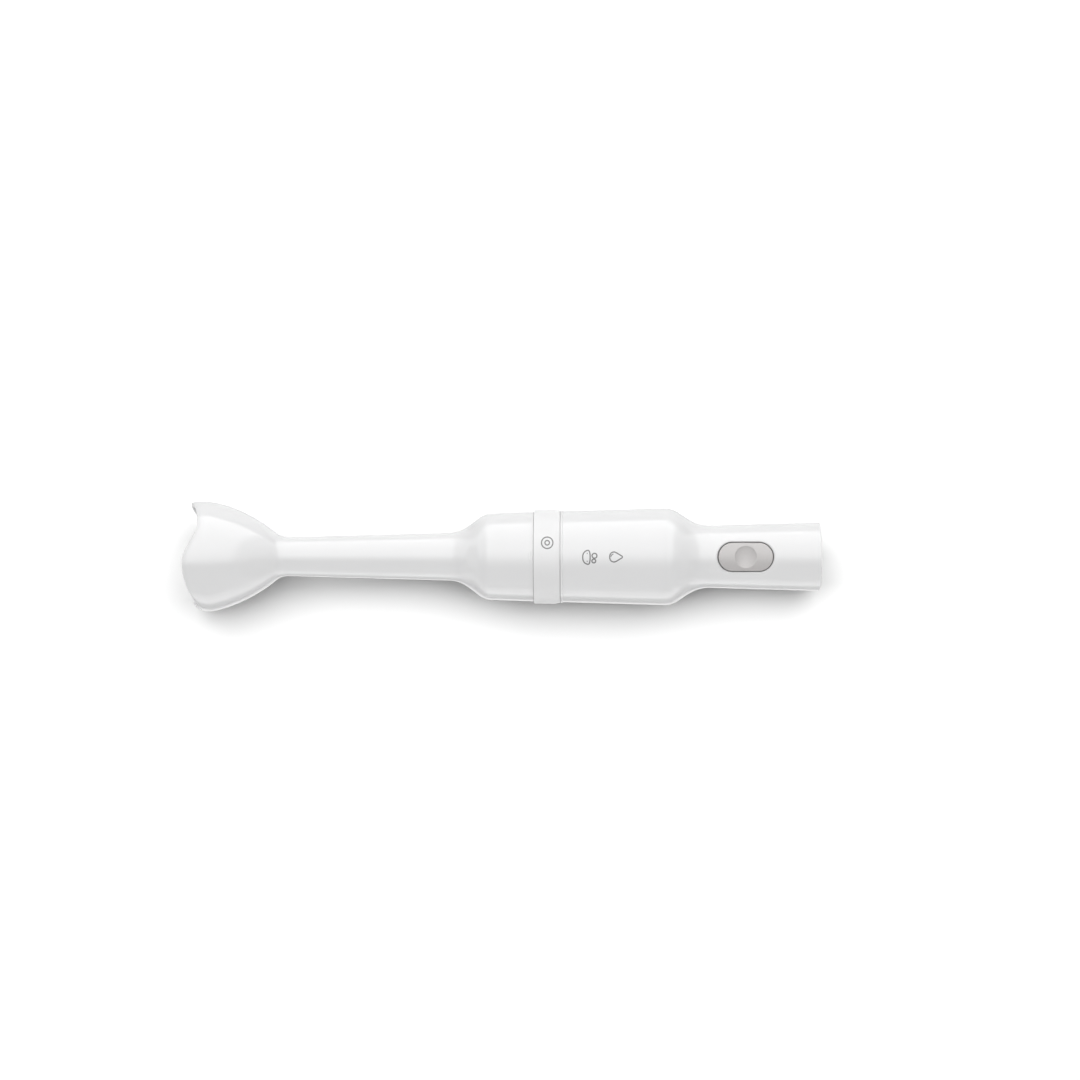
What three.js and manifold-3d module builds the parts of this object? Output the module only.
// A corded immersion blender with a detachable plastic blending bar, lying on its back.
//
// Every piece is drawn in the blender's own axis frame, in millimetres: x is the station along the
// long axis, from the tips of the bell's rim (0) to the flat end of the handle (LENGTH), y is to the
// side, and z points out of the handle on the button's side. The assembly group then lays that frame
// down on a table at z = 0, bell and belly touching it, button up, with X along the blender.

import * as THREE from 'three';
import { mergeVertices } from 'three/addons/utils/BufferGeometryUtils.js';
import Module from 'manifold-3d';

const wasm = await Module();
wasm.setup();

// ---------------------------------------------------------------- driving dimensions

const LENGTH = 370; // rim tips to handle end
const WALL = 2.2; // moulded shells
const GAP = 0.3; // between neighbouring pieces
const FINE = 36; // facets round the outer shells
const MEDIUM = 28; // round the motor's can and its like
const COARSE = 16; // round the small turned pieces

// How the blender lies: its axis drops towards the handle, because the bell is wider than the body.
const REST_TILT = THREE.MathUtils.degToRad(0.97);
const MIDDLE_STATION = 185; // the station over the origin
const AXIS_HEIGHT = 28.98; // of the axis over the table at that station

// Bell
const BELL_RADIUS = 31.9;
const BELL_WALL = 2.4;
const LOBE_HEIGHT = 1.5; // the bell has three soft ridges, each ending in a point of the rim
const LOBE_ANGLE = THREE.MathUtils.degToRad(113); // of one ridge, from the button's side towards +y
const SCALLOP_DEPTH = 8; // of the three notches in the rim
const SCALLOP_LEAN = 0.36; // share of the way between two points where a notch is deepest
const SCALLOP_REACH = 30; // station where the rim's wave has died out
const RIDGE_REACH = 45; // station where the ridges have died out
const BOSS_RADIUS = 9; // bearing boss in the middle of the bell
const BOSS_FRONT = 21;
const SEAT_RADIUS = 6.3; // bearing seat inside the boss

// Tube, shoulder and cup of the bar
const NECK_STATION = 59;
const NECK_RADIUS = 11.35;
const TUBE_TOP = { s: 153, r: 14 };
const CUP_START = { s: 177.5, r: 25.3 };
const MOUTH = { s: 202.5, r: 26.2 };
const CUP_BORE = 23;
const CUP_FLOOR = 179;

// Bayonet between the motor unit's nose and the bar
const NOSE_FRONT = 186;
const NOSE_RADIUS = 19.4;
const NOSE_BORE = 16.6;
const LUG = { s0: 188.5, s1: 191.5, r: 21.2, halfAngle: 11 };
const LUG_COUNT = 3;
const LOCK_TWIST = 30; // degrees from locked to free

// Collar and housing
const COLLAR = { s0: 202.8, s1: 218.2, r: 27.6, inner: 24.7 };
const HOUSING_START = { s: 218.6, r: 26.6 };
const BODY_END = { s: 279.5, r: 28.4 };
const HANDLE_START = { s: 305, r: 18.2 };
const HANDLE_END = { s: LENGTH - WALL, r: 20 };
const END_EDGE = 1; // rounding of the handle's end
const END_OPENING = 13.2;
const SCREW_STATIONS = { front: 302.5, rear: 351 };

// Button
const BUTTON = { s: 325.9, length: 31.6, width: 16.4, crown: 19.3, travel: 2 };
const BUTTON_CLEARANCE = 0.45; // all round, in the front shell
const DIMPLE = { radius: 6.2, depth: 1.1 };

// Motor
const CAN = { s0: 215.6, s1: 274, r: 20.6, wall: 1.4 };
const NECK_OF_CAN = { s0: 208.7, r: 9.9, bore: 8.3 };
const SHAFT_RADIUS = 2.5;
const SHAFT_BORE = SHAFT_RADIUS + GAP;
const CORE = { s0: 229, s1: 259, r: 15.6, slots: 10, slotWidth: 3.4, slotFloor: 7 };
const COMMUTATOR = { s0: 265.5, s1: 274.2, r: 7.2, bars: 12 };
const BRUSH = { s: 269.8, length: 5, thick: 4, r0: 7.5, r1: 13.4 };

// Blade drive
const SPINDLE_RADIUS = 3;
const BLADE = { s: 11, radius: 21.5, thick: 1.2, hub: 5.4 };

// ---------------------------------------------------------------- geometry helpers

// A closed outline of [station, radius] points turned about the long axis.
function turned(profile, facets = COARSE) {
  const outline = profile.map(([s, r]) => new THREE.Vector2(r, s));
  if (THREE.ShapeUtils.area(outline) < 0) outline.reverse();
  const startsOnAxis = outline[0].x === 0 && outline.at(-1).x === 0;
  if (!startsOnAxis) outline.push(outline[0].clone());
  return new THREE.LatheGeometry(outline, facets).rotateZ(-Math.PI / 2);
}

// A plain ring or rod between two stations.
const ring = (s0, s1, outer, inner, facets) =>
  turned([[s0, inner], [s0, outer], [s1, outer], [s1, inner]], facets);
const rod = (s0, s1, radius, facets) =>
  turned([[s0, 0], [s0, radius], [s1, radius], [s1, 0]], facets);

// A shape drawn in the y-z plane and pushed along the long axis from one station to another.
function prism(shape, s0, s1, curveSegments = 6) {
  const toAxis = new THREE.Matrix4().makeBasis(
    new THREE.Vector3(0, 1, 0), new THREE.Vector3(0, 0, 1), new THREE.Vector3(1, 0, 0));
  return new THREE.ExtrudeGeometry(shape, { depth: s1 - s0, bevelEnabled: false, curveSegments })
    .applyMatrix4(toAxis)
    .translate(s0, 0, 0);
}

// A box by its limits on each axis.
function block([x0, x1], [y0, y1], [z0, z1]) {
  return new THREE.BoxGeometry(x1 - x0, y1 - y0, z1 - z0)
    .translate((x0 + x1) / 2, (y0 + y1) / 2, (z0 + z1) / 2);
}

// An upright cylinder at a station, on the middle plane.
function post(s, radius, z0, z1, facets = 16) {
  return new THREE.CylinderGeometry(radius, radius, z1 - z0, facets)
    .rotateX(Math.PI / 2)
    .translate(s, 0, (z0 + z1) / 2);
}

// A slab with the button's outline, grown by a margin, between two heights.
function buttonSlab(margin, z0, z1) {
  const half = BUTTON.width / 2 + margin;
  const straight = (BUTTON.length - BUTTON.width) / 2;
  const outline = new THREE.Shape()
    .absarc(straight, 0, half, -Math.PI / 2, Math.PI / 2)
    .absarc(-straight, 0, half, Math.PI / 2, 1.5 * Math.PI);
  return new THREE.ExtrudeGeometry(outline, { depth: z1 - z0, bevelEnabled: false, curveSegments: 9 })
    .translate(BUTTON.s, 0, z0);
}

// A round wire along a curve.
function wire(curve, radius, sides, steps) {
  const section = new THREE.Shape();
  for (let i = 0; i < sides; i += 1) {
    const a = (2 * Math.PI * i) / sides;
    section[i ? 'lineTo' : 'moveTo'](radius * Math.cos(a), radius * Math.sin(a));
  }
  return new THREE.ExtrudeGeometry(section, { extrudePath: curve, steps, bevelEnabled: false });
}

// A helix about its own Z axis, from height 0 to height.
class Helix extends THREE.Curve {
  constructor(radius, height, turns) {
    super();
    Object.assign(this, { radius, height, turns });
  }

  getPoint(t, target = new THREE.Vector3()) {
    const a = 2 * Math.PI * this.turns * t;
    return target.set(this.radius * Math.cos(a), this.radius * Math.sin(a), this.height * t);
  }
}

// Points of a side outline moved inwards, square to it, by the wall's thickness.
function inset(points, wall) {
  return points.map(([s, r], i) => {
    const [s0, r0] = points[Math.max(i - 1, 0)];
    const [s1, r1] = points[Math.min(i + 1, points.length - 1)];
    const run = Math.hypot(s1 - s0, r1 - r0);
    return [s + (wall * (r1 - r0)) / run, r - (wall * (s1 - s0)) / run];
  });
}

const sidePoints = (path, divisions) => path.getPoints(divisions).map((p) => [p.x, p.y]);

// three.js geometry to a manifold-3d solid, and back.
function solid(geometry) {
  const loose = geometry.index ? geometry.toNonIndexed() : geometry;
  const bare = new THREE.BufferGeometry().setAttribute('position', loose.getAttribute('position'));
  const merged = mergeVertices(bare, 1e-4);
  return new wasm.Manifold(new wasm.Mesh({
    numProp: 3,
    vertProperties: merged.attributes.position.array,
    triVerts: new Uint32Array(merged.index.array),
  }));
}

function fromSolid(manifold) {
  const { vertProperties, triVerts } = manifold.getMesh();
  return new THREE.BufferGeometry()
    .setAttribute('position', new THREE.BufferAttribute(vertProperties, 3))
    .setIndex(new THREE.BufferAttribute(triVerts, 1));
}

const cut = (geometry, ...tools) =>
  fromSolid(tools.reduce((left, tool) => left.subtract(solid(tool)), solid(geometry)));
const join = (...pieces) => fromSolid(pieces.map(solid).reduce((all, piece) => all.add(piece)));
const keep = (geometry, tool) => fromSolid(solid(geometry).intersect(solid(tool)));

// Copies of a geometry spaced evenly round the long axis, the first one turned by an angle in degrees.
function around(geometry, count, first = 0) {
  return Array.from({ length: count }, (_, i) =>
    geometry.clone().rotateX(THREE.MathUtils.degToRad(first + (360 * i) / count)));
}

// ---------------------------------------------------------------- materials and assembly

const finish = (color, roughness, metalness) =>
  new THREE.MeshStandardMaterial({ color, roughness, metalness });

const materials = {
  white_plastic: finish(0xededee, 0.22, 0),
  collar_plastic: finish(0xe6e6e7, 0.4, 0),
  button_rubber: finish(0xb9b7b6, 0.45, 0),
  inner_plastic: finish(0xd5d5d2, 0.5, 0),
  dark_plastic: finish(0x33363a, 0.5, 0),
  seal_rubber: finish(0x2c2c2e, 0.8, 0),
  stainless_steel: finish(0xc4c6c8, 0.25, 1),
  zinc_steel: finish(0x9a9da1, 0.35, 1),
  lamination_steel: finish(0x6f7276, 0.5, 1),
  bronze: finish(0xa9743f, 0.4, 1),
  copper: finish(0xb9683a, 0.35, 1),
  ferrite: finish(0x3a3a3d, 0.7, 0),
  carbon: finish(0x242426, 0.6, 0),
  brass: finish(0xc9a35a, 0.3, 1),
  board: finish(0x3f6b45, 0.5, 0),
  yellow_plastic: finish(0xd6b640, 0.4, 0),
  brown_insulation: finish(0x6b3f25, 0.5, 0),
  blue_insulation: finish(0x2f5aa0, 0.5, 0),
};

const assembly = new THREE.Group();
assembly.rotation.y = REST_TILT;
assembly.position.set(
  -MIDDLE_STATION * Math.cos(REST_TILT), 0, AXIS_HEIGHT + MIDDLE_STATION * Math.sin(REST_TILT));
assembly.updateMatrixWorld(true);

const part = new THREE.Group();
part.add(assembly);

const units = {};
for (const unit of ['motorUnit', 'rotor', 'button', 'bar', 'bladeDrive']) {
  units[unit] = new THREE.Group();
  assembly.add(units[unit]);
}

function add(unit, name, material, geometry) {
  const mesh = new THREE.Mesh(geometry, materials[material]);
  mesh.name = name;
  units[unit].add(mesh);
}

// The space below the table, in the blender's own frame.
const belowTable = block([-250, 250], [-60, 60], [-40, 0])
  .applyMatrix4(assembly.matrixWorld.clone().invert());

// ---------------------------------------------------------------- blending bar

// Bends a turned shape to the bell's three ridges and gives the rim its three leaning scallops.
function shapeBell(geometry) {
  const position = geometry.getAttribute('position');
  const third = (2 * Math.PI) / 3;
  for (let i = 0; i < position.count; i += 1) {
    const [s, y, z] = [position.getX(i), position.getY(i), position.getZ(i)];
    const radius = Math.hypot(y, z);
    if (s > RIDGE_REACH || radius < BOSS_RADIUS + 1) continue;
    const fromRidge = Math.atan2(y, z) - LOBE_ANGLE;
    const share = THREE.MathUtils.euclideanModulo(fromRidge / third, 1);
    const wave = share < SCALLOP_LEAN ? share / SCALLOP_LEAN : (1 - share) / (1 - SCALLOP_LEAN);
    const nearRim = Math.max(0, 1 - s / SCALLOP_REACH);
    const push = (1 - Math.cos(Math.PI * wave)) * (SCALLOP_DEPTH / 2) * nearRim ** 2;
    const ridge = 1 - Math.abs(Math.sin(fromRidge * 1.5)); // one on the ridge, nothing midway
    const swell = 1 + (LOBE_HEIGHT / BELL_RADIUS) * ridge * (1 - s / RIDGE_REACH);
    position.setXYZ(i, s + push, y * swell, z * swell);
  }
  return geometry;
}

function barShell() {
  const bell = new THREE.Path()
    .moveTo(8, BELL_RADIUS)
    .bezierCurveTo(21.5, BELL_RADIUS, 38.6, 24.4, 51.2, 13.9);
  const neck = new THREE.Path()
    .moveTo(51.2, 13.9)
    .quadraticCurveTo(54, NECK_RADIUS, NECK_STATION, NECK_RADIUS);
  const shoulder = new THREE.Path()
    .moveTo(TUBE_TOP.s, TUBE_TOP.r)
    .bezierCurveTo(165.3, 14.4, 168.8, 25, CUP_START.s, CUP_START.r);
  const bellSide = sidePoints(bell, 6);
  const shoulderSide = sidePoints(shoulder, 5);
  const cavity = inset(bellSide.filter(([s]) => s < 39), BELL_WALL).reverse();
  const tubeBore = inset([[NECK_STATION, NECK_RADIUS], ...shoulderSide], WALL).reverse();
  const shell = turned([
    [3, BELL_RADIUS - 0.2], ...bellSide, ...sidePoints(neck, 3).slice(1), ...shoulderSide,
    [MOUTH.s, MOUTH.r], [MOUTH.s, CUP_BORE], [CUP_FLOOR, CUP_BORE],
    ...tubeBore,
    [56, SEAT_RADIUS + 2.8], [56, SEAT_RADIUS], [BOSS_FRONT, SEAT_RADIUS],
    [BOSS_FRONT, BOSS_RADIUS], [40.5, BOSS_RADIUS], [42.5, BOSS_RADIUS + 2], [42, 14],
    ...cavity,
    [0.8, BELL_RADIUS - BELL_WALL], [0, BELL_RADIUS - 1.8], [0, BELL_RADIUS - 1.3],
    [0.6, BELL_RADIUS - 0.6],
  ], FINE);
  return join(shapeBell(shell), ...flowRibs(), lockMark());
}

// Three thin ribs that steady the flow between the bell's wall and the bearing boss.
function flowRibs() {
  const thickness = 1.8;
  const outline = new THREE.Shape([
    [27.5, 26.1], [36, 22.2], [43.5, 14.6], [43.5, 8], [31, 8],
  ].map(([s, r]) => new THREE.Vector2(s, r)));
  const rib = new THREE.ExtrudeGeometry(outline, { depth: thickness, bevelEnabled: false })
    .translate(0, 0, -thickness / 2)
    .rotateX(Math.PI / 2);
  return around(rib, 3, 90 - THREE.MathUtils.radToDeg(LOBE_ANGLE));
}

// A small raised bar at the mouth that shows where the bar locks.
const lockMark = () => block([200.2, 201.4], [-2.7, 3.4], [25.5, 26.6]);

// The moulded ring in the cup that takes the nose's lugs.
function bayonetRing() {
  const groove = { s0: LUG.s0 - 0.6, s1: LUG.s1 + 0.6, r: LUG.r + 0.4 };
  const bore = NOSE_RADIUS + 0.4;
  const shelfEnd = groove.s1 + 3.5;
  const outer = CUP_BORE - GAP;
  const body = turned([
    [CUP_FLOOR + GAP, 15.5], [CUP_FLOOR + GAP, outer], [shelfEnd, outer], [shelfEnd, bore],
    [groove.s1, bore], [groove.s1, groove.r], [groove.s0, groove.r], [groove.s0, bore],
    [CUP_FLOOR + 3.3, bore], [CUP_FLOOR + 3.3, 15.5],
  ], FINE);
  const entry = prism(sector(bore - 1, groove.r, LUG.halfAngle + 3), groove.s1 - 0.1, shelfEnd + 1);
  return cut(body, ...around(entry, LUG_COUNT, -LOCK_TWIST));
}

// A piece of an annulus centred on the button's side.
function sector(inner, outer, halfAngle) {
  const half = THREE.MathUtils.degToRad(halfAngle);
  return new THREE.Shape()
    .absarc(0, 0, outer, Math.PI / 2 - half, Math.PI / 2 + half)
    .absarc(0, 0, inner, Math.PI / 2 + half, Math.PI / 2 - half, true);
}

function lipSeal() {
  const bore = SPINDLE_RADIUS + GAP;
  const outer = SEAT_RADIUS - GAP;
  return turned([
    [22, bore + 0.6], [22, outer], [31, outer], [31, bore + 0.6],
    [28.5, bore + 0.6], [27.5, bore], [25.5, bore], [24.5, bore + 0.6],
  ]);
}

function upperBearingCarrier() {
  return turned([
    [141, 5.9], [141, 10.6], [143, 10.9], [151, 11.1], [151, 5.9],
  ]);
}

function makeBar() {
  const boreOfSpindle = SPINDLE_RADIUS + GAP;
  add('bar', 'bar_shell', 'white_plastic', barShell());
  add('bar', 'bayonet_ring', 'inner_plastic', bayonetRing());
  add('bar', 'lower_bush', 'bronze', ring(32, 54, SEAT_RADIUS - GAP, boreOfSpindle));
  add('bar', 'lip_seal', 'seal_rubber', lipSeal());
  add('bar', 'seal_retainer', 'stainless_steel', ring(BOSS_FRONT - 1.8, BOSS_FRONT - GAP, BOSS_RADIUS, 4.4));
  add('bar', 'upper_bearing_carrier', 'inner_plastic', upperBearingCarrier());
  add('bar', 'upper_bush', 'bronze', ring(141.5, 150.5, 5.9 - GAP, boreOfSpindle));
  add('bar', 'face_seal', 'seal_rubber',
    ring(CUP_FLOOR + 3.6, NOSE_FRONT - GAP, NOSE_RADIUS - 0.2, NOSE_BORE));
}

// ---------------------------------------------------------------- blade drive

// One wing: flat near the hub, with its outer half bent towards the rim or away from it.
function wing(bend) {
  const sections = [
    { r: 3.4, from: -4.2, to: 4.2, rise: 0 },
    { r: 9, from: -4.6, to: 3.4, rise: 0 },
    { r: 13, from: -4.8, to: 2.6, rise: 0.6 },
    { r: 17.5, from: -4.2, to: 1.6, rise: 3.4 },
    { r: BLADE.radius, from: -2.2, to: 0.4, rise: 5.6 },
  ];
  const corners = sections.flatMap(({ r, from, to, rise }) => {
    const s = BLADE.s + bend * rise;
    const edge = BLADE.thick / 2;
    return [[s - edge, r, from], [s + edge, r, from], [s + 0.1, r, to], [s - 0.1, r, to]];
  });
  const faces = [];
  for (let i = 0; i + 1 < sections.length; i += 1) {
    for (let k = 0; k < 4; k += 1) {
      const [a, b] = [4 * i + k, 4 * i + ((k + 1) % 4)];
      faces.push(a, b + 4, b, a, a + 4, b + 4);
    }
  }
  const last = 4 * (sections.length - 1);
  faces.push(0, 1, 2, 0, 2, 3, last, last + 2, last + 1, last, last + 3, last + 2);
  return new THREE.BufferGeometry()
    .setAttribute('position', new THREE.Float32BufferAttribute(corners.flat(), 3))
    .setIndex(faces);
}

function blade() {
  const plate = ring(BLADE.s - BLADE.thick / 2, BLADE.s + BLADE.thick / 2, BLADE.hub, SPINDLE_RADIUS + GAP);
  const bore = rod(BLADE.s - 2, BLADE.s + 2, SPINDLE_RADIUS + GAP);
  return cut(join(plate, wing(-0.45), wing(1).rotateX(Math.PI)), bore);
}

// A six-lobed outline that carries the drive from the motor to the bar.
function star(mean, lobe) {
  const points = Array.from({ length: 24 }, (_, i) => {
    const a = (2 * Math.PI * i) / 24;
    const r = mean + lobe * Math.cos(6 * a);
    return new THREE.Vector2(r * Math.cos(a), r * Math.sin(a));
  });
  return new THREE.Shape(points);
}

function shaftCoupling() {
  const body = join(prism(star(4.7, 0.8), 183, 199.5), ring(177, 184, 6.6, 2));
  return cut(body, rod(176, 192.3, SPINDLE_RADIUS + GAP));
}

function makeBladeDrive() {
  const bore = SPINDLE_RADIUS + GAP;
  const hubFront = [[7, 0], [7, 2.6], [8, 4.2], [BLADE.s - 0.9, 4.6], [BLADE.s - 0.9, 0]];
  add('bladeDrive', 'drive_shaft', 'stainless_steel', rod(BLADE.s - 0.5, 192, SPINDLE_RADIUS, 16));
  add('bladeDrive', 'blade', 'stainless_steel', blade());
  add('bladeDrive', 'blade_cap_nut', 'stainless_steel', turned(hubFront, 6));
  add('bladeDrive', 'blade_spacer', 'stainless_steel', ring(BLADE.s + 0.9, 18.4, 4.8, bore));
  add('bladeDrive', 'retaining_clip', 'zinc_steel', ring(55, 56, 4.8, bore));
  add('bladeDrive', 'shaft_coupling', 'dark_plastic', shaftCoupling());
}

// ---------------------------------------------------------------- housing

function housing() {
  const shoulder = new THREE.Path()
    .moveTo(BODY_END.s, BODY_END.r)
    .bezierCurveTo(288.6, 28.3, 292.6, 18.6, HANDLE_START.s, HANDLE_START.r);
  const side = [
    [HOUSING_START.s, HOUSING_START.r], ...sidePoints(shoulder, 7), [HANDLE_END.s, HANDLE_END.r],
  ];
  const corner = [[1, 0], [0.3, 0.3], [0, 1]].map(([back, down]) =>
    [LENGTH - back * END_EDGE, HANDLE_END.r - down * END_EDGE]);
  return turned([
    ...side, ...corner, [LENGTH, END_OPENING],
    [HANDLE_END.s, END_OPENING], ...inset(side, WALL).reverse(),
  ], FINE);
}

const partingHalf = GAP / 2;
const POST_REACH = 17.8; // into the wall of the handle
const wide = [-40, 40];

function frontShell(whole) {
  const upper = keep(whole, block([200, 400], wide, [partingHalf, 60]));
  const posts = Object.values(SCREW_STATIONS).map((s) => post(s, 3, partingHalf, POST_REACH));
  const pilots = Object.values(SCREW_STATIONS).map((s) => post(s, 1.35, -1, 12));
  return cut(join(upper, ...posts), ...pilots, buttonSlab(BUTTON_CLEARANCE, 5, 25));
}

function rearShell(whole) {
  const lower = keep(whole, block([200, 400], wide, [-60, -partingHalf]));
  const bosses = Object.values(SCREW_STATIONS).map((s) => post(s, 4.4, -POST_REACH, -partingHalf));
  const wells = Object.values(SCREW_STATIONS).map((s) => post(s, 3.3, -25, -5));
  const holes = Object.values(SCREW_STATIONS).map((s) => post(s, 1.7, -6, 1));
  return cut(join(lower, ...bosses), ...wells, ...holes, belowTable);
}

function housingScrew(s) {
  const head = post(s, 2.9, -7.4, -5 - GAP);
  const shank = post(s, 1.05, -6, 9, 12);
  const slots = [0, Math.PI / 2].map((turn) =>
    new THREE.BoxGeometry(3.2, 0.7, 1.6).rotateZ(turn).translate(s, 0, -7.4));
  return cut(join(head, shank), ...slots);
}

// The decorated band round the joint.
function collarBand() {
  const { s0, s1, r, inner } = COLLAR;
  const edge = 0.5;
  return turned([
    [s0, inner], [s0, r - edge], [s0 + edge, r], [s1 - edge, r], [s1, r - edge], [s1, inner],
  ], FINE);
}

// The motor unit's lower frame: nose with its lugs, bulkhead, and the sleeve that the shells close on.
function driveSocket() {
  const body = turned([
    [NOSE_FRONT, NOSE_BORE], [NOSE_FRONT, NOSE_RADIUS], [COLLAR.s0, NOSE_RADIUS],
    [COLLAR.s0, COLLAR.inner - GAP],
    [COLLAR.s1 + 0.1, COLLAR.inner - GAP], [COLLAR.s1 + 0.1, 23.9], [229, 23.9], [229, 21.9],
    [208.2, 21.9], [208.2, 8.8], [205.4, 8.8], [205.4, NOSE_BORE],
  ], FINE);
  const lug = prism(sector(NOSE_RADIUS - 1, LUG.r, LUG.halfAngle), LUG.s0, LUG.s1, 3);
  return join(body, ...around(lug, LUG_COUNT));
}

function endCap() {
  const outer = END_OPENING - GAP;
  return turned([
    [364.4, 5.3], [364.4, 15.4], [367.4, 15.4], [367.4, outer], [LENGTH, outer], [LENGTH, 9.6],
    [368.2, 9], [368.2, 5.3],
  ], FINE);
}

// The rubber bush that the mains lead comes out of.
function cordGland() {
  return turned([
    [357, 3.2], [357, 4.6], [364, 5], [368.5, 5], [368.5, 7.6], [369.8, 7], [369.8, 3.2],
  ]);
}

function makeHousing() {
  const whole = housing();
  add('motorUnit', 'front_shell', 'white_plastic', frontShell(whole));
  add('motorUnit', 'rear_shell', 'white_plastic', rearShell(whole));
  add('motorUnit', 'collar_band', 'collar_plastic', collarBand());
  add('motorUnit', 'drive_socket', 'inner_plastic', driveSocket());
  add('motorUnit', 'end_cap', 'white_plastic', endCap());
  add('motorUnit', 'cord_gland', 'seal_rubber', cordGland());
  for (const [place, s] of Object.entries(SCREW_STATIONS)) {
    add('motorUnit', `housing_screw_${place}`, 'zinc_steel', housingScrew(s));
  }
}

// ---------------------------------------------------------------- motor

function motorCan() {
  const { s0, s1, r, wall } = CAN;
  const { s0: neck, r: neckRadius, bore } = NECK_OF_CAN;
  return turned([
    [neck, bore], [neck, neckRadius], [s0, neckRadius], [s0, r], [s1, r], [s1, r - wall],
    [s0 + wall, r - wall], [s0 + wall, bore],
  ], MEDIUM);
}

function endBell() {
  return turned([
    [274.5, 8.2], [274.5, 20.4], [278, 20.4], [280, 12.5], [286.5, 9], [286.5, 5.9], [279.2, 5.9],
    [279.2, 8.2],
  ], MEDIUM);
}

function armatureCore() {
  const { s0, s1, r, slots, slotWidth, slotFloor } = CORE;
  const slot = block([s0 - 1, s1 + 1], [-slotWidth / 2, slotWidth / 2], [slotFloor, r + 1]);
  return cut(ring(s0, s1, r, SHAFT_BORE, MEDIUM), ...around(slot, slots));
}

function armatureWinding() {
  const { s0, s1, slots, slotWidth, slotFloor } = CORE;
  const half = slotWidth / 2 - GAP;
  const bar = block([s0 - 2, s1 + 2], [-half, half], [slotFloor + GAP, 14.4]);
  const endTurns = [[s0 - GAP, -1], [s1 + GAP, 1]].map(([s, way]) => turned([
    [s, 6], [s, 14.6], [s + way * 4.6, 12.6], [s + way * 4.6, 7.4],
  ]));
  return join(...endTurns, ...around(bar, slots));
}

function commutator() {
  const { s0, s1, r, bars } = COMMUTATOR;
  const groove = block([s0 + 1.6, s1 + 1], [-0.35, 0.35], [r - 0.7, r + 1]);
  return cut(ring(s0, s1, r, SHAFT_BORE), ...around(groove, bars, 7.5));
}

function coolingFan() {
  const vane = block([218.6, 222.4], [-0.6, 0.6], [5, 14.5]);
  return join(
    ring(217.6, 222.4, 6, SHAFT_BORE), ring(217.6, 218.8, 15, 5), ...around(vane, 9));
}

function motorCoupling() {
  const body = turned([[189.5, 0], [189.5, 7.4], [190.1, 8], [200, 8], [204, 7], [207.9, 7], [207.9, 0]]);
  return cut(body, prism(star(5.1, 0.8), 189, 200.5), rod(200, 209, SHAFT_BORE));
}

// One side's brush gear, drawn on +y: a brass guide, and the carbon brush and its spring inside it.
function brushGuide() {
  const { s, length, thick } = BRUSH;
  const [half, deep, wall] = [length / 2 + GAP, thick / 2 + GAP, 0.6];
  return cut(
    block([s - half - wall, s + half + wall], [8.9, 18.6], [-deep - wall, deep + wall]),
    block([s - half, s + half], [8, 18], [-deep, deep]));
}

function carbonBrush() {
  const { s, length, thick, r0, r1 } = BRUSH;
  return block([s - length / 2, s + length / 2], [r0, r1], [-thick / 2, thick / 2]);
}

function brushSpring() {
  const wound = new Helix(1.5, 3.4, 3);
  return wire(wound, 0.3, 5, 21).rotateX(-Math.PI / 2).translate(BRUSH.s, BRUSH.r1 + 0.6, 0);
}

function makeMotor() {
  add('motorUnit', 'motor_can', 'zinc_steel', motorCan());
  add('motorUnit', 'end_bell', 'dark_plastic', endBell());
  add('motorUnit', 'front_bearing', 'stainless_steel', ring(208.9, 213.9, 8, SHAFT_BORE));
  add('motorUnit', 'rear_bearing', 'bronze', ring(279.5, 286.2, 5.6, SHAFT_BORE));
  add('motorUnit', 'front_damper', 'seal_rubber', ring(217, 227, 21.6, CAN.r + GAP, MEDIUM));
  add('motorUnit', 'rear_damper', 'seal_rubber', ring(262, 270, 25.2, CAN.r + GAP, MEDIUM));
  const magnet = prism(sector(16.3, 18.8, 62), 226, 264, 8);
  add('motorUnit', 'magnet_upper', 'ferrite', magnet);
  add('motorUnit', 'magnet_lower', 'ferrite', magnet.clone().rotateX(Math.PI));
  for (const [side, turn] of [['left', 0], ['right', Math.PI]]) {
    add('motorUnit', `brush_guide_${side}`, 'brass', brushGuide().rotateX(turn));
    add('motorUnit', `carbon_brush_${side}`, 'carbon', carbonBrush().rotateX(turn));
    add('motorUnit', `brush_spring_${side}`, 'zinc_steel', brushSpring().rotateX(turn));
  }
  add('rotor', 'motor_shaft', 'zinc_steel', rod(200.9, 287.4, SHAFT_RADIUS, 16));
  add('rotor', 'armature_core', 'lamination_steel', armatureCore());
  add('rotor', 'armature_winding', 'copper', armatureWinding());
  add('rotor', 'commutator', 'copper', commutator());
  add('rotor', 'cooling_fan', 'dark_plastic', coolingFan());
  add('rotor', 'motor_coupling', 'dark_plastic', motorCoupling());
}

// ---------------------------------------------------------------- button, switch and board

const FLANGE_TOP = 11.4;
const CARRIER_TOP = FLANGE_TOP - 1.6;
const CARRIER_BOTTOM = CARRIER_TOP - 1.6;
const STEM_BOTTOM = 5.4;
const SWITCH_TOP = 3;
const BOARD_TOP = -5.4;

// The rubber cap: crowned like the handle, with a round dimple for the thumb.
function buttonCap() {
  const crown = rod(BUTTON.s - 20, BUTTON.s + 20, BUTTON.crown, FINE);
  const cap = keep(buttonSlab(0, FLANGE_TOP - 0.2, 25), crown);
  const flange = buttonSlab(1.1, CARRIER_TOP + GAP, FLANGE_TOP);
  return cut(join(cap, flange), dimpleBall());
}

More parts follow.
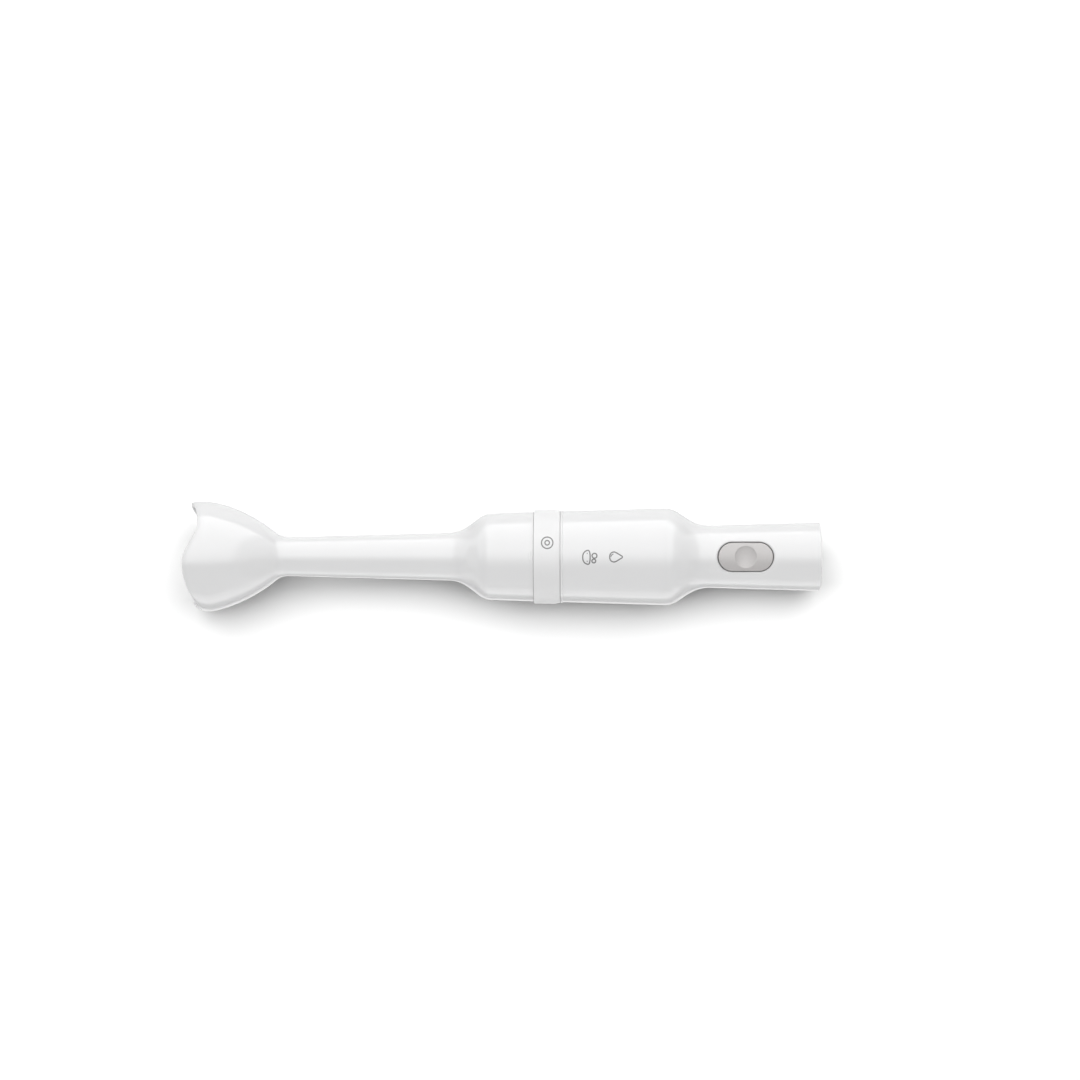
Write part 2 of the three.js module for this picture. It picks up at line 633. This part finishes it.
// A ball that sinks the dimple to its depth at its radius.
function dimpleBall() {
  const radius = (DIMPLE.radius ** 2 + DIMPLE.depth ** 2) / (2 * DIMPLE.depth);
  return new THREE.SphereGeometry(radius, 28, 36)
    .rotateX(Math.PI / 2)
    .translate(BUTTON.s, 0, BUTTON.crown - DIMPLE.depth + radius);
}

function buttonCarrier() {
  return join(
    buttonSlab(1, CARRIER_BOTTOM, CARRIER_TOP),
    post(BUTTON.s, 2.6, STEM_BOTTOM, CARRIER_BOTTOM + 0.5));
}

function leadWire(side) {
  const route = new THREE.CatmullRomCurve3([
    [280.4, 6, -14], [286, 6, -13.8], [293, 6.6, -11.6],
    [300, 7.4, -8], [304.5, 7.6, -6.4], [308.5, 7.6, -6.2],
  ].map(([s, y, z]) => new THREE.Vector3(s, side * y, z)));
  return wire(route, 0.9, 6, 12);
}

function makeControls() {
  const { s } = BUTTON;
  add('button', 'button_cap', 'button_rubber', buttonCap());
  add('button', 'button_carrier', 'inner_plastic', buttonCarrier());
  add('button', 'switch_plunger', 'dark_plastic', post(s, 1.3, -1.5, STEM_BOTTOM - GAP, 12));
  const wound = new Helix(3.9, CARRIER_BOTTOM - SWITCH_TOP - 1.6, 3.5);
  add('motorUnit', 'return_spring', 'stainless_steel',
    wire(wound, 0.45, 5, 35).translate(s, 0, SWITCH_TOP + 0.8));
  const switchBody = block([s - 9, s + 9], [-5.2, 5.2], [BOARD_TOP + GAP, SWITCH_TOP]);
  const plungerHole = post(s, 1.65, -4, SWITCH_TOP + 1, 12);
  add('motorUnit', 'microswitch', 'dark_plastic', cut(switchBody, plungerHole));
  add('motorUnit', 'circuit_board', 'board',
    block([308.9, 343], [-12.4, 12.4], [BOARD_TOP - 1.6, BOARD_TOP]));
  add('motorUnit', 'bridge_rectifier', 'dark_plastic',
    block([337, 342], [-7, 7], [BOARD_TOP + GAP, -1]));
  add('motorUnit', 'suppression_capacitor', 'yellow_plastic',
    block([310.5, 316], [-6, 6], [BOARD_TOP + GAP, 3.4]));
  add('motorUnit', 'lead_wire_left', 'brown_insulation', leadWire(1));
  add('motorUnit', 'lead_wire_right', 'blue_insulation', leadWire(-1));
}

makeBar();
makeBladeDrive();
makeHousing();
makeMotor();
makeControls();

export default part;
